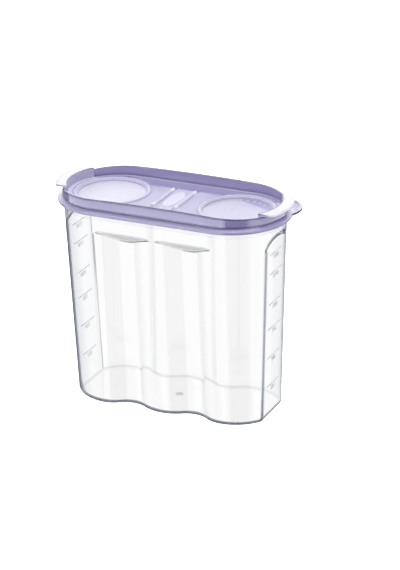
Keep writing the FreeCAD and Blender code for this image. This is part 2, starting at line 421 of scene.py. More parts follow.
def end_point(kind, share, z, inset):
    """Point on an end: round corner, flat arched panel, and the flare over the arch."""
    reach = half_width(z) - inset
    level = min(z, ARCH_SPRING)
    flat = end_plane(level) - inset - END_CENTRE
    edge = acos(min(flat / (half_width(level) - inset), 1))
    if kind == "end":
        angle = pi / 2 + (edge - pi / 2) * share
        y = reach * sin(angle)
    else:
        y = (half_width(level) - inset) * sin(edge) * share
    round_x = END_CENTRE + sqrt(max(reach * reach - y * y, 0))
    flare = arch_distance(y, z) - inset * sqrt(2)
    panel_x = end_plane(z) + smooth_max(-inset, flare, CREASE)
    crease = PANEL_CREASE * (4 - 3 * inset / WALL)
    return smooth_min(round_x, panel_x, crease), y


def body_loop(z, inset):
    """Whole outline of the body at one height."""
    quarter = []
    for kind, share in quarter_places():
        place = end_point if kind in ("end", "panel") else side_point
        quarter.append(place(kind, share, z, inset))
    back = quarter[:-1]
    right_front = [(x, -y) for x, y in reversed(quarter)]
    left_front = [(-x, -y) for x, y in quarter[1:-1]]
    left_back = [(-x, y) for x, y in reversed(quarter[1:])]
    return back + right_front + left_front + left_back


def body_heights(first):
    """Heights of the rows of faces, close together where the slopes and arches are."""
    rows = [first + (CLOSE_ROWS_FROM - first) * k / 14 for k in range(14)]
    rows += [CLOSE_ROWS_FROM + CLOSE_ROW_STEP * k for k in range(37)]
    return rows + [159.5, 161.4]


def open_share(z, place, higher):
    """Share of the light that leaves the inside of the wall straight, where it would otherwise be
    trapped in the wall and show black: under the shoulder slopes and behind the right panel's edge."""
    slope = dist(place, higher) / SLOPE_STEP - 1
    flat = end_plane(z) - WALL
    corner = sqrt((half_width(z) - WALL) ** 2 - (flat - END_CENTRE) ** 2)
    edge = 0.0
    if z < ARCH_SPRING and place[0] > flat - 0.3 and place[1] < 0:
        edge = 2 - abs(corner + place[1]) / EDGE_REACH
    return min(max(slope, edge, 0), 1)


def body_levels():
    """Heights up the outside, over the lip and down the inside, each with how far it is drawn in."""
    levels = [(0, FOOT_RADIUS + 2.5)]
    for k in range(7):
        angle = radians(15 * k)
        levels.append((FOOT_RADIUS * (1 - cos(angle)), FOOT_RADIUS * (1 - sin(angle))))
    levels += [(z, 0) for z in body_heights(FOOT_RADIUS)[1:]]
    lip_low = RIM_HEIGHT - LIP_HEIGHT
    levels += [(lip_low - 0.3, 0), (lip_low, -0.4), (lip_low, -1.8), (lip_low + 0.4, -LIP_REACH)]
    levels += [(RIM_HEIGHT - 0.5, -LIP_REACH), (RIM_HEIGHT - 0.15, -2.05), (RIM_HEIGHT, -1.7)]
    levels += [(RIM_HEIGHT, WALL - 0.5), (RIM_HEIGHT - 0.15, WALL - 0.15), (RIM_HEIGHT - 0.5, WALL)]
    levels += [(z, WALL) for z in reversed(body_heights(FLOOR + FOOT_INNER_RADIUS))]
    for k in range(1, 6):
        angle = radians(18 * k)
        z = FLOOR + FOOT_INNER_RADIUS * (1 - sin(angle))
        levels.append((z, WALL + FOOT_INNER_RADIUS * (1 - cos(angle))))
    return levels + [(FLOOR, WALL + FOOT_INNER_RADIUS + 2.5)]


def clear_body(material):
    shell = Shell()
    loops = []
    for z, inset in body_levels():
        outline, tone = body_loop(z, inset), 0.0
        if inset == WALL:
            tone = [open_share(z, *pair) for pair in zip(outline, body_loop(z + SLOPE_PROBE, inset))]
        loops.append(shell.level(outline, z, tone))
    shell.join(*loops)
    shell.fill(loops[0])
    shell.fill(loops[-1])
    finished("clear_body", shell, material, "container", ["container_body"], 50)


def gate_mark(material):
    """Nub and shallow ring left by the mould's gate in the middle of the floor."""
    shell = Shell()
    top = FLOOR + GATE_RISE
    profile = [(0, top), (1.0, top), (1.3, top - 0.2), (1.5, FLOOR + 0.1), (2.6, FLOOR + 0.1),
               (2.9, FLOOR + 0.25), (3.2, FLOOR + 0.1), (3.2, FLOOR - 0.3), (0, FLOOR - 0.3)]
    shell.turned(profile, 0, 48, lambda radius, height: 0.0)
    finished("gate_mark", shell, material, "container", (), 40)


# Lid frame

def stations(end_steps=56, side_steps=26):
    """Places round the lid: point on the middle line and direction outwards."""
    found = []
    for side in (1, -1):
        for k in range(end_steps + 1):
            angle = pi * (k / end_steps - 0.5)
            found.append((side * END_CENTRE, side * cos(angle), side * sin(angle)))
        for k in range(1, side_steps):
            found.append((side * END_CENTRE * (1 - 2 * k / side_steps), 0, side))
    return found


def rounded(corners, steps=4):
    """A profile with its corners rounded; a corner is reach, height, bowed and radius."""
    line = []
    for k, (reach, height, bowed, radius) in enumerate(corners):
        if radius == 0 or k in (0, len(corners) - 1):
            line.append((reach, height, bowed))
            continue
        here = Vector((reach, height))
        before = Vector(corners[k - 1][:2]) - here
        after = Vector(corners[k + 1][:2]) - here
        half = before.angle(after) / 2
        run = min(radius / tan(half), before.length / 2, after.length / 2)
        start, end = here + before.normalized() * run, here + after.normalized() * run
        centre = here + (before.normalized() + after.normalized()).normalized() * run / cos(half)
        first, last = start - centre, end - centre
        sweep = first.angle_signed(last)
        for step in range(steps + 1):
            turned = first.copy()
            turned.rotate(Matrix.Rotation(-sweep * step / steps, 2))
            spot = centre + turned
            line.append((spot.x, spot.y, bowed))
    return line


def bow_drop(x):
    """How much lower the collar's rim is at a distance from the middle of the lid."""
    span = END_CENTRE + COLLAR_FOOT_REACH
    radius = (span ** 2 + RIM_BOW ** 2) / (2 * RIM_BOW)
    return radius - sqrt(radius ** 2 - x * x)


def divided(line, longest):
    """A profile with points added so that no stretch of it is longer than this."""
    fine = [line[0]]
    for before, after in zip(line, line[1:]):
        count = ceil(dist(before[:2], after[:2]) / longest)
        for k in range(1, count + 1):
            fine.append(tuple(a + (b - a) * k / count for a, b in zip(before, after)))
    return fine


def painted_line_tones(reach, height, lines):
    """Tone from the painted highlight and shade lines on a section; each has its place, half its width
    and its strength.
    """
    tone = 0.0
    for line_reach, line_height, width, strength in lines:
        away = hypot(reach - line_reach, height - line_height)
        tone += strength * max(1 - away / width, 0)
    return tone


def lid_painted_lines_and_clear_plug(reach, height):
    """Painted shade as deep lines along the collar's rim and foot and the skirt's edge, painted
    highlights as pale lines on the thin edges and along the collar's inner foot, the collar's faces
    painted deeper, the outer one most at its rim, and a pale tone that makes the plug wall nearly clear.
    """
    if height < DECK_UNDER and reach < PLUG_OUTER + 0.1:
        return PLUG_TONE
    face = 0.0
    if reach > COLLAR_RIM_REACH - 0.1 and height > COLLAR_FOOT:
        face = -0.25 * (height - COLLAR_FOOT) / (LID_TOP - COLLAR_FOOT)
    elif height > DECK_TOP + 1.0:
        face = -0.12
    return face + painted_line_tones(reach, height, (
        (COLLAR_INNER, DECK_TOP, 0.9, 0.6),
        (COLLAR_INNER + 0.5, LID_TOP, 0.7, 0.5),
        (COLLAR_RIM_REACH + 0.1, LID_TOP - 0.5, 1.2, -1.3),
        (COLLAR_FOOT_REACH, COLLAR_FOOT, 1.5, -1.7),
        (FLANGE_TOP_REACH, FLANGE_TOP, 0.8, 0.4),
        (SKIRT_REACH, SKIRT_LOW, 0.6, -0.4)))


def lid_profile():
    """Section of the lid frame, from its deck out over the collar and back under the plug wall."""
    return divided(rounded([
        (36.0, DECK_TOP, 0, 0),
        (37.5, DECK_TOP, 0, 0),
        (COLLAR_INNER, DECK_TOP, 0, 0.7),
        (COLLAR_INNER, LID_TOP, 1, 0.6),
        (COLLAR_RIM_REACH, LID_TOP, 1, 0.7),
        (COLLAR_FOOT_REACH, COLLAR_FOOT, 0, 0.6),
        (FLANGE_TOP_REACH, FLANGE_TOP, 0, 0.4),
        (SKIRT_REACH, FLANGE_EDGE, 0, 0.4),
        (SKIRT_REACH, SKIRT_LOW, 0, 0.3),
        (SKIRT_INNER, SKIRT_LOW, 0, 0.3),
        (SKIRT_INNER, DECK_UNDER, 0, 0.3),
        (PLUG_OUTER, DECK_UNDER, 0, 0.4),
        (PLUG_OUTER, PLUG_LOW, 0, 0.4),
        (PLUG_INNER, PLUG_LOW, 0, 0.4),
        (PLUG_INNER, DECK_UNDER, 0, 0.4),
        (36.0, DECK_UNDER, 0, 0),
    ]), 0.5)


def tab_outline(grow, stay):
    """Outline of the pull tab outside the lid's skirt, drawn in or out by a distance."""
    outer = []
    for x, y in arc_points(TAB_X, TAB_Y, TAB_RADIUS + grow, TAB_ANGLE_FROM, TAB_ANGLE_TO, 180):
        if hypot(max(x - END_CENTRE, 0), y) > stay:
            outer.append((x, y))
    first, last = [degrees(atan2(y, max(x - END_CENTRE, 0))) for x, y in (outer[-1], outer[0])]
    return outer + arc_points(END_CENTRE, 0, stay, first, last, 40)[1:-1]


def lid_frame(material):
    shell = Shell()
    loops = []
    for reach, height, bowed in lid_profile():
        ring = []
        for base, out_x, out_y in stations():
            x, y = base + reach * out_x, reach * out_y
            ring.append((x, y, height - bowed * bow_drop(x)))
        loops.append(shell.loop(ring, lid_painted_lines_and_clear_plug(reach, height)))
    shell.join(*loops)
    tops, unders = [], []
    for side in (-1, 1):
        rings = []
        for wider, height in ((1.4, DECK_TOP), (0.4, DECK_TOP), (0.1, DECK_TOP - 0.1), (0, DECK_TOP - 0.4),
                              (0, DECK_UNDER + 0.4), (0.1, DECK_UNDER + 0.1), (0.4, DECK_UNDER),
                              (1.4, DECK_UNDER)):
            rings.append(shell.level(circle(side * POUR_PLACE, 0, POUR_RADIUS + wider, 112), height))
        shell.join(*rings)
        tops.append(rings[0])
        unders.append(rings[-1])
    shell.fill(loops[0], *tops)
    shell.fill(loops[-1], *unders)
    outer = tab_outline(0, SKIRT_INNER + 0.3)
    inner = tab_outline(-TAB_EDGE, SKIRT_REACH + TAB_EDGE / 2)
    # The tab's underside and side wall are painted deep, as shade, its brim pale, as a painted highlight, and
    # its dish a little paler.
    under = shell.level(outer, TAB_TOP - TAB_THICK, -1.0)
    wall = shell.level(outer, TAB_TOP - 0.15, -1.0)
    over = shell.level(outer, TAB_TOP, BRIM_TONE)
    brim = shell.level(inner, TAB_TOP, BRIM_TONE)
    dish = shell.level(inner, TAB_TOP - TAB_DISH, 0.2)
    shell.join(under, wall, over)
    shell.join(brim, dish)
    shell.fill(under)
    shell.fill(over, brim)
    shell.fill(dish)
    finished("tinted_lid", shell, material, "lid", ["lid_frame"], 40, 0.3)


# Flaps

def flap_turn():
    """Section of the flap's round part, from the middle of its dish to the middle of its underside."""
    line = rounded([
        (0, DISH_FLOOR, 0, 0),
        (DISH_RADIUS, DISH_FLOOR, 0, 0.7),
        (DISH_RADIUS, FLAP_TOP, 0, 0.3),
        (RING_INNER, FLAP_TOP, 0, 0.15),
        (RING_INNER, RING_TOP, 0, 0.2),
        (RING_RADIUS, RING_TOP, 0, 0.4),
        (RING_RADIUS, FLAP_UNDER, 0, 0.3),
        (STOPPER_RADIUS, FLAP_UNDER, 0, 0.2),
        (STOPPER_RADIUS, STOPPER_LOW, 0, 0.5),
        (DISH_RADIUS, STOPPER_LOW, 0, 0.5),
        (DISH_RADIUS, STOPPER_FLOOR, 0, 0.4),
        (0, STOPPER_FLOOR, 0, 0),
    ])
    line = [(reach, height) for reach, height, bowed in line]
    extra = [(reach, DISH_FLOOR) for reach in (4.5, 9.0, 13.5, 17.0, 18.5, 20.0, 21.5, 23.0, 24.5, 26.0)]
    return [line[0]] + extra + divided(line[1:], 0.6)


def flap_painted_light(reach, height):
    """The ring is painted deeper than the dish, with a painted highlight as a white line along its
    inner edge and painted shade as a deep line on the flat inside it.
    """
    ring = -0.85 if reach > RING_INNER + 0.5 and height > FLAP_UNDER else 0.0
    return ring + painted_line_tones(reach, height, (
        (RING_INNER + 0.4, RING_TOP, 0.8, 1.4),
        (RING_INNER - 0.8, FLAP_TOP, 0.8, -0.9)))


def shade_in_the_right_dish(shell):
    """Lilac shade on the dish's floor, deeper behind the row of bumps."""
    turn = radians(BUMP_FIRST + BUMP_STEP)
    for spot, (x, y, z) in enumerate(shell.points):
        away = (x - POUR_PLACE) * cos(turn) + y * sin(turn)
        if z == DISH_FLOOR and hypot(x - POUR_PLACE, y) < DISH_RADIUS:
            shell.tones[spot] -= 0.35 + min(max((away - SHADE_EDGE) / 2, 0), 0.65)


def neck_outline():
    """Plate between the hinge and the ring; it ends inside the ring."""
    edge = degrees(asin(PLATE_HALF / PLATE_HIDDEN))
    arc = arc_points(POUR_PLACE, 0, PLATE_HIDDEN, 180 + edge, 180 - edge, 30)
    corner = 1.2
    low = arc_points(NECK_START + corner, corner - PLATE_HALF, corner, 180, 270, 5)
    high = arc_points(NECK_START + corner, PLATE_HALF - corner, corner, 90, 180, 5)
    return low + arc + high


def tongue_outline():
    """Plate between the ring and the end wall."""
    inner = degrees(asin(TONGUE_HALF / PLATE_HIDDEN))
    outer = degrees(asin(TONGUE_HALF / TONGUE_REACH))
    near = arc_points(POUR_PLACE, 0, PLATE_HIDDEN, inner, -inner, 24)
    far = arc_points(END_CENTRE, 0, TONGUE_REACH - 0.2, -outer, outer, 30)
    return near + far


def ledge_profile():
    """Section of the upright end wall and the thumb ledge on it."""
    inner = TONGUE_REACH - TONGUE_WALL
    line = [(TONGUE_REACH, FLAP_UNDER + 0.2), (TONGUE_REACH, LEDGE_UNDER - 0.8), (TONGUE_REACH, LEDGE_UNDER)]
    run = LEDGE_REACH - LEDGE_CORNER
    line += [(run + LEDGE_CORNER * sin(radians(15 * k)), LEDGE_UNDER) for k in range(7)]
    line += [(LEDGE_REACH, LEDGE_UNDER + 0.5)]
    line += [(run + LEDGE_CORNER * sin(radians(90 - 15 * k)), LID_TOP) for k in range(7)]
    line += [(inner + 1.1, LID_TOP), (inner + 0.5, LID_TOP), (inner, LID_TOP), (inner, LID_TOP - 0.8)]
    return line + [(inner, LEDGE_UNDER - 0.8), (inner, FLAP_UNDER + 0.2)]


def ledge_half(reach):
    """Half the width of the ledge at a reach, with its outer corners rounded."""
    over = max(reach - (LEDGE_REACH - LEDGE_CORNER), 0)
    return TONGUE_HALF - LEDGE_CORNER + sqrt(max(LEDGE_CORNER ** 2 - over ** 2, 0))


def ledge_painted_light(reach, height):
    """Painted highlight, white, on top and outside, painted lilac shade on the inner wall, and painted
    shade as deep lines along the inner edge and under the outer one."""
    if reach < TONGUE_REACH - TONGUE_WALL + 0.6:
        return -0.45 if height < LID_TOP - 0.1 else -2.0
    if height > LEDGE_UNDER + 0.1:
        return 1.0
    return -1.0 if reach > LEDGE_REACH - LEDGE_CORNER else 0.0


def add_ledge(shell):
    sections = []
    steps = 44
    for k in range(steps + 1):
        place = -1 + 2 * k / steps
        section = []
        for reach, height in ledge_profile():
            angle = place * asin(ledge_half(reach) / reach)
            section.append((END_CENTRE + reach * cos(angle), reach * sin(angle), height))
        sections.append(shell.loop(section, [ledge_painted_light(*spot) for spot in ledge_profile()]))
    shell.join(*sections)
    shell.faces += [tuple(sections[0]), tuple(sections[-1])]


def flap(name, body, material, mirrored):
    """One flap; its solid and the body that it moves with have the same name."""
    shell = Shell()
    shell.turned(flap_turn(), POUR_PLACE, 120, flap_painted_light)
    if not mirrored:
        shade_in_the_right_dish(shell)
    shell.slab(neck_outline(), FLAP_UNDER, FLAP_TOP, tone=-0.5)
    shell.slab(tongue_outline(), FLAP_UNDER, FLAP_TOP)
    add_ledge(shell)
    for low, high in ((-KNUCKLE_OUTER, -KNUCKLE_INNER), (KNUCKLE_INNER, KNUCKLE_OUTER)):
        # The knuckles are painted paler, as a painted highlight.
        shell.barrel(HINGE_PLACE, HINGE_HEIGHT, KNUCKLE_RADIUS, BORE_RADIUS, low, high, tone=0.6)
        inner, outer = HINGE_PLACE + BORE_RADIUS + 0.3, NECK_START + 1.5
        web = [(inner, low + 0.1), (outer, low + 0.1), (outer, high - 0.1), (inner, high - 0.1)]
        shell.slab(web, FLAP_UNDER + 0.15, FLAP_TOP - 0.02)
    finished(name, shell, material, body, [body], 34, 0.3, mirrored)


def bridge_outline():
    """Centre plate, wider along its middle where the barrels join it."""
    right = arc_points(PLATE_EDGE - 1, PLATE_HALF - 1, 1, 90, 0, 4)
    right += [(PLATE_EDGE, BARREL_HALF), (HINGE_PLACE, BARREL_HALF)]
    right += [(x, -y) for x, y in reversed(right)]
    left = [(-x, -y) for x, y in right]
    return right + left


def centre_plate(material):
    shell = Shell()
    shell.slab(bridge_outline(), DECK_TOP, FLAP_TOP, tone=-0.25)
    oval = [(x * EMBOSS_WIDE, y * EMBOSS_LONG) for x, y in circle(0, 0, 1, 64)]
    shell.slab(oval, FLAP_TOP - 0.3, FLAP_TOP + EMBOSS_RISE)
    for side in (-1, 1):
        x = side * HINGE_PLACE
        shell.barrel(x, HINGE_HEIGHT, KNUCKLE_RADIUS, 0, -BARREL_HALF, BARREL_HALF, tone=-0.3)
        shell.barrel(x, HINGE_HEIGHT, PIN_RADIUS, 0, -PIN_END, PIN_END, 20)
        shell.slab(circle(0, side * PEG_PLACE, PEG_RADIUS, 24), PEG_LOW, DECK_TOP + 0.3)
    finished("centre_plate", shell, material, "lid", ["hinge_bridge"], 34, 0.25)


# Colour and node helpers

def linear(code):
    """An sRGB hex colour as the linear colour that shaders take."""
    channels = []
    for k in (1, 3, 5):
        level = int(code[k:k + 2], 16) / 255
        channels.append(level / 12.92 if level <= 0.04045 else ((level + 0.055) / 1.055) ** 2.4)
    return (*channels, 1.0)


def add(tree, kind, inputs=None, **settings):
    """One node with its settings; an input is a value, a hex colour, or the socket or node that
    feeds it."""
    node = tree.nodes.new(kind)
    for name, value in settings.items():
        setattr(node, name, value)
    for key, value in (inputs or {}).items():
        if isinstance(value, bpy.types.Node):
            value = value.outputs[0]
        if isinstance(value, bpy.types.NodeSocket):
            tree.links.new(value, node.inputs[key])
        elif isinstance(value, str):
            node.inputs[key].default_value = linear(value)
        else:
            node.inputs[key].default_value = value
    return node


def calc(tree, operation, *values):
    """Result of one sum on values or sockets."""
    return add(tree, "ShaderNodeMath", dict(enumerate(values)), operation=operation)


def ranged(tree, value, start, end, low=0.0, high=1.0, kind="LINEAR"):
    """A value brought from one range into another and kept inside it."""
    limits = {"Value": value, "From Min": start, "From Max": end, "To Min": low, "To Max": high}
    return add(tree, "ShaderNodeMapRange", limits, interpolation_type=kind)


def blend(tree, share, first, second):
    """Colour between two colours, by the share of the second."""
    return add(tree, "ShaderNodeMix", {0: share, 6: first, 7: second}, data_type="RGBA").outputs[2]


def parts_of(tree, direction):
    """The three parts of a place or a direction."""
    return add(tree, "ShaderNodeSeparateXYZ", {0: direction}).outputs


def spot_at(tree, x=0.0, y=0.0, z=0.0):
    return add(tree, "ShaderNodeCombineXYZ", {0: x, 1: y, 2: z})


def mesh_value(tree, name):
    """A value that is written on the mesh."""
    return add(tree, "ShaderNodeAttribute", attribute_name=name, attribute_type="GEOMETRY").outputs["Fac"]


def grain(tree, size, detail=2.0):
    """Even noise fixed to the piece, with features of a size in millimetres."""
    place = add(tree, "ShaderNodeTexCoord").outputs["Object"]
    noise = {"Vector": place, "Scale": 1 / (size * MM), "Detail": detail}
    return add(tree, "ShaderNodeTexNoise", noise)


def see_through(tree, colour="#FFFFFF"):
    """Lets light pass straight on, tinted."""
    return add(tree, "ShaderNodeBsdfTransparent", {"Color": colour})


def partly(tree, share, shader, other):
    """A shader that gives way to another by a share."""
    return add(tree, "ShaderNodeMixShader", {0: share, 1: shader, 2: other})


def blank_material(name):
    material = bpy.data.materials.new(name)
    material.use_nodes = True
    material.node_tree.nodes.clear()
    return material, material.node_tree


def with_light_through(tree, shader, **volume):
    """Lets the studio light pass the plastic, so that a clear piece throws no black shadow."""
    shadow = add(tree, "ShaderNodeLightPath").outputs["Is Shadow Ray"]
    surface = partly(tree, shadow, shader, see_through(tree))
    add(tree, "ShaderNodeOutputMaterial", {"Surface": surface, **volume})


# Plastics

def bend_share(tree, name, start, end, most):
    """Share of a colour where the surface bends tightly, from the bends written on the mesh."""
    return ranged(tree, mesh_value(tree, name), start, end, 0.0, most)


def with_painted_dark_edges(tree, shader, edge, foot_edge, slope):
    """Where the upright walls turn away from the eye, a slate edge colour is painted in as shade for
    the dark surroundings that the edges show; the rounded foot gets it sooner and darker. The slopes
    above the foot are painted an even pale grey, as painted shade."""
    place = add(tree, "ShaderNodeTexCoord")
    foot = ranged(tree, parts_of(tree, place.outputs["Object"])[2], FOOT_LINE_TOP * MM, FOOT_LINE_LOW * MM)
    tilt = calc(tree, "ABSOLUTE", parts_of(tree, place.outputs["Normal"])[2])
    shown = calc(tree, "MAXIMUM", ranged(tree, tilt, 0.2, 0.06), foot)
    painted_slope_shade = calc(tree, "MAXIMUM", calc(tree, "SUBTRACT", 0.9, shown), 0)
    straight = calc(tree, "MAXIMUM", painted_slope_shade, mesh_value(tree, "tone"))
    with_painted_slope_shade = partly(tree, straight, shader, see_through(tree, blend(tree, painted_slope_shade, "#FFFFFF", slope)))
    turn = add(tree, "ShaderNodeLayerWeight", {"Blend": 0.5}).outputs["Facing"]
    ridge = calc(tree, "MULTIPLY", bend_share(tree, "ridge", 0.1, 0.33, 0.45), foot)
    away = ranged(tree, calc(tree, "ADD", turn, ridge), 0.67, 0.93, kind="SMOOTHSTEP")
    deep = see_through(tree, blend(tree, foot, edge, foot_edge))
    return partly(tree, calc(tree, "MULTIPLY", away, shown), with_painted_slope_shade, deep)


def painted_bend_lines(tree, colour, edge):
    """Corners of the clear moulding are painted as thin grey lines of shade, fainter on its inside."""
    outside = bend_share(tree, "ridge", 0.12, 0.5, 1.0)
    inside = bend_share(tree, "groove", 0.12, 0.9, 0.7)
    return blend(tree, calc(tree, "MAXIMUM", outside, inside), colour, edge)


def toned(tree, colour, shades):
    """The plastic's colour made paler or deeper by the tone written on the mesh, which paints
    highlights and shade; each shade has the tones that it starts and ends at, and its colour."""
    for start, end, shade in shades:
        colour = blend(tree, ranged(tree, mesh_value(tree, "tone"), start, end), colour, shade)
    return colour


def with_painted_edge_lines(tree, colour, ridge_colour, groove_colour):
    """The plastic's colour with painted highlights as pale lines along its ridges and painted shade
    as deep lines in its grooves.
    """
    pale = blend(tree, bend_share(tree, "ridge", 0.3, 1.5, 0.6), colour, ridge_colour)
    return blend(tree, bend_share(tree, "groove", 0.3, 1.2, 0.7), pale, groove_colour)


def clear_san():
    """Clear styrene acrylonitrile, injection moulded against polished steel: glassy, bright white
    inside, with slate-coloured edges, partly from the studio's grey sides and partly painted shade,
    painted grey lines of shade at its corners, and a faint waviness from the flow of the melt."""
    material, tree = blank_material("clear_moulded_SAN")
    flow = grain(tree, 55, 1.0)
    wave = add(tree, "ShaderNodeBump", {"Height": flow, "Strength": 0.12, "Distance": 0.4 * MM})
    # Painted shade: grey lines at the corners, slate edges and foot, and pale grey slopes.
    shader = add(tree, "ShaderNodeBsdfPrincipled", {
        "Base Color": painted_bend_lines(tree, "#FCFCFC", "#D1D2D5"), "Roughness": 0.02, "IOR": SAN_IOR,
        "Transmission Weight": 1.0, "Normal": wave})
    painted_edges = with_painted_dark_edges(tree, shader, "#A3AEC2", "#737C89", "#E1E2E3")
    depth = add(tree, "ShaderNodeVolumeAbsorption", {"Color": "#CDD3DD", "Density": 8.0})
    with_light_through(tree, painted_edges, Volume=depth)
    return material


def frosted_marks():
    """Etched scale marks in the clear body: they scatter light and read as a faint grey."""
    material, tree = blank_material("etched_SAN_marks")
    shader = add(tree, "ShaderNodeBsdfPrincipled", {
        "Base Color": blend(tree, grain(tree, 0.9), "#E5E7EA", "#F2F3F5"), "Roughness": 0.6, "IOR": SAN_IOR,
        "Transmission Weight": 0.55})
    with_light_through(tree, shader)
    return material


def tinted_pp():
    """Lilac tinted polypropylene, moulded glossy: light passes it, walls that turn away look deep
    violet, painted shade makes deep lines along the collar's rim and foot and on the tab's side, thin
    rims carry painted highlights as pale lines, and the thin plug wall is nearly clear."""
    material, tree = blank_material("lilac_moulded_PP")
    tint = blend(tree, grain(tree, 40), "#ACA6D0", "#B6B0D8")
    turn = add(tree, "ShaderNodeLayerWeight", {"Blend": 0.5}).outputs["Facing"]
    thick = blend(tree, ranged(tree, turn, 0.78, 0.97, 0.0, 0.6, "SMOOTHSTEP"), tint, "#564E84")
    # The tones paint pale highlight lines and deep shade lines on the lid.
    colour = toned(tree, thick, ((0, 1, "#F1EFFC"), (0, -1, "#484078"), (-1, -2, "#221C44")))
    shader = add(tree, "ShaderNodeBsdfPrincipled", {
        "Base Color": colour, "Roughness": ranged(tree, grain(tree, 2.2), 0, 1, 0.1, 0.2), "IOR": PP_IOR,
        "Transmission Weight": 0.55})
    thin = ranged(tree, mesh_value(tree, "tone"), 0.9, PLUG_TONE, 0.0, 0.85)
    with_light_through(tree, partly(tree, thin, shader, see_through(tree)))
    return material


def pale_pp():
    """Natural polypropylene with a spark-eroded matte skin: milky, painted white as a highlight where it
    stands free and painted lilac where the deck lies behind it, with painted highlight and shade
    lines along its edges. The 0.3 mm grain is drawn at 1.1 mm so that it shows."""
    material, tree = blank_material("milky_textured_PP")
    spots = grain(tree, 1.1)
    tint = blend(tree, ranged(tree, spots, 0.35, 0.65), "#DDDBEE", "#F3F2FA")
    # Painted highlights as white lines on ridges, painted shade as lilac lines in grooves, and the tones
    # paint white highlights and lilac shade.
    painted_edges = with_painted_edge_lines(tree, tint, "#FFFFFF", "#A29DC4")
    relief = add(tree, "ShaderNodeBump", {"Height": spots, "Strength": 0.35, "Distance": 0.2 * MM})
    shader = add(tree, "ShaderNodeBsdfPrincipled", {
        "Base Color": toned(tree, painted_edges, ((0, 1, "#FFFFFF"), (0, -1, "#A7A1D0"), (-1, -2, "#4E4880"))),
        "Roughness": 0.38, "IOR": PP_IOR, "Transmission Weight": 0.5, "Normal": relief})
    with_light_through(tree, shader)
    return material


# Raised details made by Geometry Nodes

def tree_with_inputs(name, wanted):
    """A new tree, its inputs with the values wanted for them, and their sockets inside the tree."""
    tree = bpy.data.node_groups.new(name, "GeometryNodeTree")
    tree.interface.new_socket("Geometry", in_out="OUTPUT", socket_type="NodeSocketGeometry")
    values = []
    for label, value in wanted.items():
        kind = "NodeSocketInt" if isinstance(value, int) else "NodeSocketFloat"
        values.append((tree.interface.new_socket(label, in_out="INPUT", socket_type=kind), value))
    return tree, values, add(tree, "NodeGroupInput").outputs


def joined(tree, pieces):
    whole = add(tree, "GeometryNodeJoinGeometry")
    for piece in pieces:
        tree.links.new(piece.outputs[0], whole.inputs[0])
    return whole


def grown(name, tree, instances, values, material, body):
    """The tree's instances as a plain mesh piece; values are set by socket before it is evaluated."""
    real = add(tree, "GeometryNodeRealizeInstances", {0: instances})
    finish = add(tree, "GeometryNodeSetMaterial", {"Geometry": real, "Material": material})
    add(tree, "NodeGroupOutput", {0: finish})
    holder = placed(name, bpy.data.meshes.new(name + "_start"))
    modifier = holder.modifiers.new("made", "NODES")
    modifier.node_group = tree
    for socket, value in values:
        modifier[socket.identifier] = value
    bpy.context.view_layer.update()
    ready = holder.evaluated_get(bpy.context.evaluated_depsgraph_get())
    mesh = bpy.data.meshes.new_from_object(ready)
    holder.modifiers.clear()
    holder.data = mesh
    mesh.name = name
    mesh.materials.clear()
    mesh.shade_smooth()
    given_over(holder, material, body)


def dish_bumps(material):
    """Row of low domes along the back edge of the right dish."""
    tree, values, given = tree_with_inputs("row_of_domes", {
        "Count": BUMP_COUNT, "First angle": radians(BUMP_FIRST), "Step angle": radians(BUMP_STEP),
        "Row radius": BUMP_PLACE * MM, "Dome radius": BUMP_RADIUS * MM,
        "Height": (DISH_FLOOR + BUMP_RISE - BUMP_RADIUS) * MM, "Centre": POUR_PLACE * MM})
    row = add(tree, "GeometryNodeMeshLine", {"Count": given["Count"], "Offset": (0, 0, 0)})
    index = add(tree, "GeometryNodeInputIndex")
    turn = calc(tree, "MULTIPLY_ADD", index, given["Step angle"], given["First angle"])
    x = calc(tree, "MULTIPLY_ADD", calc(tree, "COSINE", turn), given["Row radius"], given["Centre"])
    y = calc(tree, "MULTIPLY", calc(tree, "SINE", turn), given["Row radius"])
    moved = add(tree, "GeometryNodeSetPosition", {
        "Geometry": row, "Position": spot_at(tree, x, y, given["Height"])})
    ball = add(tree, "GeometryNodeMeshIcoSphere", {"Radius": given["Dome radius"], "Subdivisions": 4})
    domes = add(tree, "GeometryNodeInstanceOnPoints", {"Points": moved, "Instance": ball})
    grown("dish_bumps", tree, domes, values, material, "right_flap")


def scale_lines(material):
    """Graduation lines up both end panels, each turned to its panel's lean."""
    slope = BODY_END_DRAFT / DRAFT_HEIGHT
    tree, values, given = tree_with_inputs("lines_up_a_panel", {
        "Length": SCALE_LINE * MM, "Thickness": SCALE_THICK * MM, "Proud": 2 * SCALE_PROUD * MM,
        "Lean": atan(slope), "Foot": BODY_FOOT_END * MM, "Draft": slope})
    points = joined(tree, [
        add(tree, "GeometryNodePoints", {"Count": 1, "Position": (0, 0, height * MM)})
        for height in SCALE_HEIGHTS])
    bar = add(tree, "GeometryNodeMeshCube", {
        "Size": spot_at(tree, given["Proud"], given["Length"], given["Thickness"])})
    soft = add(tree, "GeometryNodeSubdivideMesh", {"Mesh": bar, "Level": 1})
    up = parts_of(tree, add(tree, "GeometryNodeInputPosition"))[2]
    out = calc(tree, "MULTIPLY_ADD", up, given["Draft"], given["Foot"])
    both = []
    for side in (1, -1):
        spot = spot_at(tree, calc(tree, "MULTIPLY", out, side), 0.0, up)
        moved = add(tree, "GeometryNodeSetPosition", {"Geometry": points, "Position": spot})
        lean = spot_at(tree, 0.0, calc(tree, "MULTIPLY", given["Lean"], side))
        both.append(add(tree, "GeometryNodeInstanceOnPoints", {
            "Points": moved, "Instance": soft, "Rotation": lean}))
    grown("scale_lines", tree, joined(tree, both), values, material, "container")


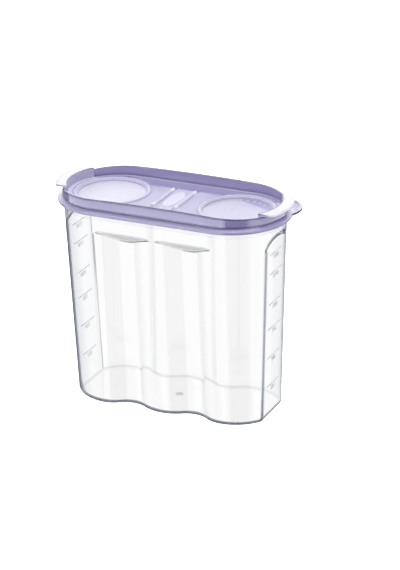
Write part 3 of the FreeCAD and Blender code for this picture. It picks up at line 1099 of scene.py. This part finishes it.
def scale_figures(material):
    """Plain numbers under the graduation lines, readable from outside each end."""
    work = bmesh.new()
    slope = BODY_END_DRAFT / DRAFT_HEIGHT
    for step, height in enumerate(SCALE_HEIGHTS, 1):
        for side in (1, -1):
            text = bpy.data.curves.new("figure", "FONT")
            text.body = str(step * SCALE_STEP)
            text.size = FIGURE_SIZE * MM
            text.align_x = "CENTER"
            text.extrude = SCALE_PROUD * MM
            holder = placed("figure", text)
            ready = holder.evaluated_get(bpy.context.evaluated_depsgraph_get())
            mesh = bpy.data.meshes.new_from_object(ready)
            low = height - FIGURE_SIZE
            across, up = Vector((0, side, 0)), Vector((side * slope, 0, 1)).normalized()
            place = Matrix((across, up, across.cross(up))).transposed().to_4x4()
            place.translation = Vector((side * (BODY_FOOT_END + slope * low), 0, low)) * MM
            mesh.transform(place)
            work.from_mesh(mesh)
            bpy.data.objects.remove(holder)
            bpy.data.meshes.remove(mesh)
    mesh = bpy.data.meshes.new("scale_figures")
    bmesh.ops.remove_doubles(work, verts=work.verts, dist=SAME_PLACE)
    work.to_mesh(mesh)
    work.free()
    piece = placed("scale_figures", mesh)
    given_over(piece, material, "container")


# Studio

def ray_choice(tree, plain, seen, through, mirrored):
    """Chooses a brightness: plain for soft light, seen for what shows directly, through for what
    shows through the plastics, and mirrored for what their glossy surfaces reflect. Refracted light
    counts as glossy too, so it is taken off."""
    path = add(tree, "ShaderNodeLightPath").outputs
    bounced = calc(tree, "SUBTRACT", path["Is Glossy Ray"], path["Is Transmission Ray"])
    direct = blend(tree, path["Is Camera Ray"], plain, seen)
    return blend(tree, bounced, blend(tree, path["Is Transmission Ray"], direct, through), mirrored)


def grey(level, blue=0.0):
    return (level * (1 - blue), level * (1 - blue / 3), level * (1 + blue), 1.0)


def level_ramp(tree, factor, stops_wanted):
    """Brightness along a ramp, from stops of position, level and sometimes a share of blue."""
    ramp = add(tree, "ShaderNodeValToRGB", {0: factor})
    stops = ramp.color_ramp.elements
    for wanted in stops_wanted[2:]:
        stops.new(wanted[0])
    for stop, (position, *level) in zip(stops, stops_wanted):
        stop.position, stop.color = position, grey(*level)
    return ramp


def studio_mirrored(tree, split, share):
    """What the glossy surfaces mirror. Low down it is white, and at the level of the lid much
    brighter, both with a dark gap at the front right; just below the lid's level the dark goes on
    round the right side. Upwards it is bright all round."""
    low = level_ramp(tree, share, [
        (0.0, 1.0), (0.05, 0.8), (0.12, 0.65), (0.25, 0.8), (0.3, 1.15), (0.503, 1.15), (GAP_START, 0.3),
        (GAP_END, 0.35), (0.68, 1.1), (0.78, 1.1), (0.93, 1.1), (1.0, 1.0)])
    level = level_ramp(tree, share, [
        (0.0, 0.3), (0.235, 0.3), (0.25, 4.0), (0.3, 5.0), (0.4, 6.0), (0.505, 6.5), (GAP_START, 0.26),
        (GAP_END, 0.44), (0.66, 5.0), (0.75, 4.5), (0.94, 3.5), (0.955, 0.35), (1.0, 0.3)])
    below = level_ramp(tree, share, [
        (0.0, 0.3), (0.235, 0.3), (0.25, 5.0), (0.4, 7.0), (0.505, 7.0), (GAP_START, 0.26), (0.95, 0.5),
        (1.0, 0.3)])
    near_lid = blend(tree, ranged(tree, split[2], *LID_LEVEL), below, level)
    sides = blend(tree, ranged(tree, split[2], *LOW_LEVEL, kind="SMOOTHSTEP"), low, near_lid)
    sky = level_ramp(tree, split[2], [(0.3, 2.8), (0.8, 1.6)])
    return blend(tree, ranged(tree, split[2], *HORIZON, kind="SMOOTHSTEP"), sides, sky)


def studio_through(tree, split, share):
    """What shows through the clear body: the white backdrop, its slate-grey sides, which draw the
    body's outer edges, the greyer ceiling, and the dark gap in the white front, which is met only
    by light that a wall has mirrored on its inner side."""
    round_about = level_ramp(tree, share, [
        (0.0, 0.95, 0.03), (0.04, 1.04), (0.1, 1.04), (0.125, 0.3, 0.2), (0.28, 0.3, 0.2), (0.32, 1.04),
        (0.8, 1.04), (0.85, 0.85, 0.05), (1.0, 0.95, 0.03)])
    gap = level_ramp(tree, share, [(0.503, 1.0), (GAP_START, 0.4), (GAP_END, 0.4), (0.68, 1.0)])
    turned_back = calc(tree, "GREATER_THAN", add(tree, "ShaderNodeLightPath").outputs["Glossy Depth"], 0.5)
    shown = calc(tree, "MULTIPLY", ranged(tree, split[2], *GAP_LEVEL), turned_back)
    level = blend(tree, shown, grey(1.0), gap)
    for other in (round_about, level_ramp(tree, split[2], [(0.1, 1.0), (0.3, 0.85)])):
        level = add(tree, "ShaderNodeVectorMath", {0: level, 1: other}, operation="MULTIPLY")
    return level


def studio_floor():
    """Plain white floor that runs out into the white background. The plastics mirror and refract
    the studio's walls in place of it."""
    material, tree = blank_material("white_studio_floor")
    paper = add(tree, "ShaderNodeBsdfDiffuse", {"Color": blend(tree, grain(tree, 333), "#F4F4F5", "#F7F7F8")})
    seen = add(tree, "ShaderNodeLightPath").outputs["Is Camera Ray"]
    glow = add(tree, "ShaderNodeEmission", {"Color": grey(BACKDROP_LEVEL), "Strength": seen})
    both = add(tree, "ShaderNodeAddShader", {0: paper, 1: glow})
    add(tree, "ShaderNodeOutputMaterial", {"Surface": both})
    mesh = bpy.data.meshes.new("studio_floor")
    corners = [(x * FLOOR_HALF, y * FLOOR_HALF, 0) for x, y in ((-1, -1), (1, -1), (1, 1), (-1, 1))]
    mesh.from_pydata(corners, [], [(0, 1, 2, 3)])
    floor = placed("studio_floor", mesh)
    mesh.materials.append(material)
    floor.visible_glossy = False
    floor.visible_transmission = False


def studio_air():
    """White all round; the plastics mirror and show the studio's own walls and ceiling."""
    world = bpy.data.worlds.new("white_studio")
    bpy.context.scene.world = world
    world.use_nodes = True
    tree = world.node_tree
    tree.nodes.clear()
    split = parts_of(tree, add(tree, "ShaderNodeTexCoord").outputs["Generated"])
    # Bearing from the front, towards the right, as a share of the full turn
    bearing = calc(tree, "ARCTAN2", split[0], calc(tree, "MULTIPLY", split[1], -1.0))
    share = ranged(tree, bearing, -pi, pi)
    light = ray_choice(tree, grey(0.5), grey(BACKDROP_LEVEL), studio_through(tree, split, share),
                       studio_mirrored(tree, split, share))
    sky = add(tree, "ShaderNodeBackground", {"Color": light})
    add(tree, "ShaderNodeOutputWorld", {"Surface": sky})


def softbox(name, place, aim, width, height, power):
    lamp = bpy.data.lights.new(name, "AREA")
    lamp.shape = "RECTANGLE"
    lamp.size = width
    lamp.size_y = height
    lamp.energy = power
    holder = placed(name, lamp)
    holder.location = place
    holder.rotation_euler = (Vector(aim) - Vector(place)).to_track_quat("-Z", "Y").to_euler()


def studio_camera():
    """Camera at the fitted place, turned by the fitted axes."""
    lens = bpy.data.cameras.new("studio_camera")
    lens.sensor_width = 36.0
    lens.lens = 148.568
    lens.clip_start = 0.1
    lens.clip_end = 50.0
    holder = placed("studio_camera", lens)
    right = Vector((0.90352, 0.42798, -0.022075))
    up = Vector((-0.14711, 0.35813, 0.92201))
    ahead = Vector((-0.40250, 0.82981, -0.38654))
    axes = Matrix((right, up, -ahead)).transposed().to_4x4()
    axes.translation = Vector((0.755438, -1.515251, 0.804989))
    holder.matrix_world = axes
    bpy.context.scene.camera = holder


def set_the_studio():
    scene = bpy.context.scene
    scene.view_settings.view_transform = "Standard"
    scene.cycles.max_bounces = WALLS_CROSSED
    scene.cycles.transmission_bounces = WALLS_CROSSED
    scene.cycles.transparent_max_bounces = WALLS_CROSSED
    studio_camera()
    studio_floor()
    studio_air()
    softbox("key_softbox", (-0.9, -1.3, 1.3), (0, 0, 0.1), 0.9, 0.9, 8)
    softbox("fill_softbox", (1.4, -0.3, 1.0), (0, 0, 0.1), 0.6, 0.9, 3)
    softbox("top_softbox", (0.1, 0.5, 1.7), (0, 0, 0.15), 1.2, 0.8, 8)


def make_the_container():
    san, marks = clear_san(), frosted_marks()
    lilac, milky = tinted_pp(), pale_pp()
    clear_body(san)
    gate_mark(marks)
    lid_frame(lilac)
    centre_plate(milky)
    flap("left_flip_flap", "left_flap", milky, True)
    flap("right_flip_flap", "right_flap", milky, False)
    dish_bumps(milky)
    scale_lines(marks)
    scale_figures(marks)
    finishes = {"clear_plastic": san, "lilac_plastic": lilac, "pale_plastic": milky}
    for subpart in frame["record"]["subparts"]:
        node = frame["nodes"][subpart["node"]]
        for place in node.material_slots:
            place.material = finishes[subpart["material_slot"]]


set_the_studio()
make_the_container()
